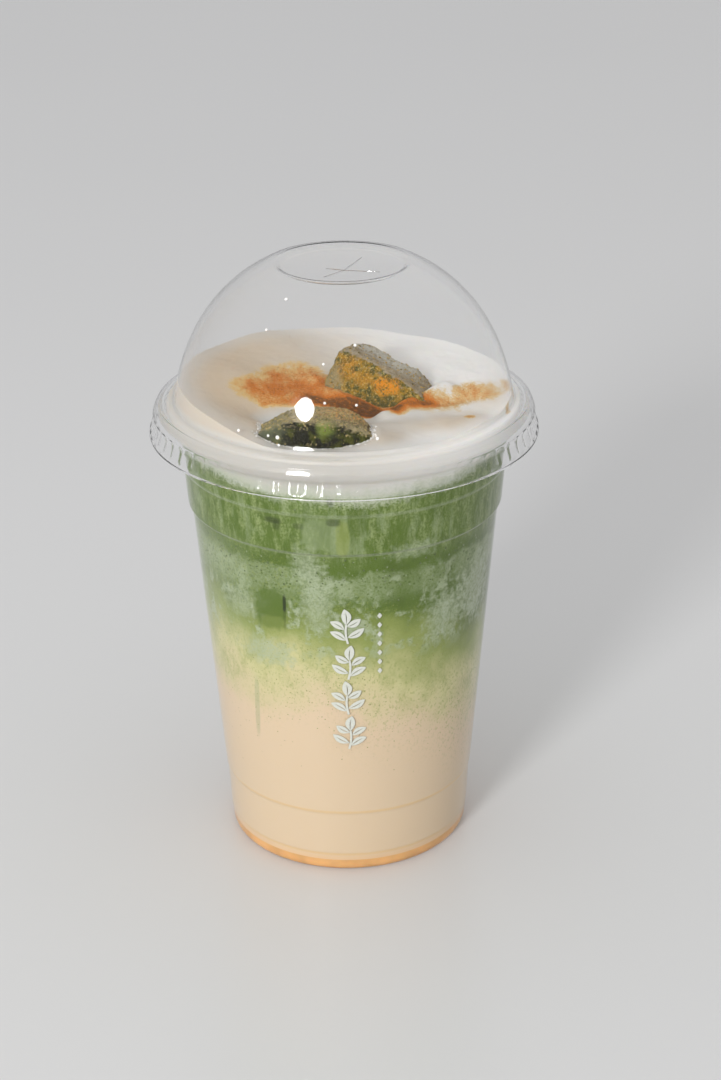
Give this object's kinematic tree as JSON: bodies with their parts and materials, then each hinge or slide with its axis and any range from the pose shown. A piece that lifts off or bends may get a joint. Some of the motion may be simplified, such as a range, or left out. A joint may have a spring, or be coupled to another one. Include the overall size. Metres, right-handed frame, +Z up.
{
  "type": "matcha latte in a takeaway cup",
  "caption": "Iced matcha latte in a clear takeaway cup with a domed lid: milk and matcha layers under an uneven cap of milk foam with powdered mochi cubes.",
  "frame": {"origin": "centre of the cup's foot, on the surface that it stands on", "axes": "+Z up along the cup's axis; -Y towards the front, where both cubes and the print show; +X to the right seen from the front"},
  "size_m": [0.101, 0.101, 0.1596],
  "materials": {
    "clear_cup": "clear thin PET, glossy",
    "clear_lid": "clear thin PET, glossy",
    "print": "opaque white ink on the cup's outer side",
    "syrup": "amber syrup, wet gloss",
    "milk": "pale beige milk, smooth",
    "matcha": "opaque green tea and milk, smooth, streaked paler",
    "foam": "thick milk foam, soft satin",
    "powder": "fine roasted powder, matte",
    "mochi_back": "soft mochi dusted with roasted powder, matte",
    "mochi_front": "soft green mochi dusted with powder, matte"
  },
  "bodies": {
    "root": {"cup": "clear_cup", "dome_lid": "clear_lid", "syrup": "syrup", "milk": "milk", "matcha": "matcha", "foam": "foam", "mochi_back": "mochi_back", "mochi_front": "mochi_front"}
  },
  "joints": []
}
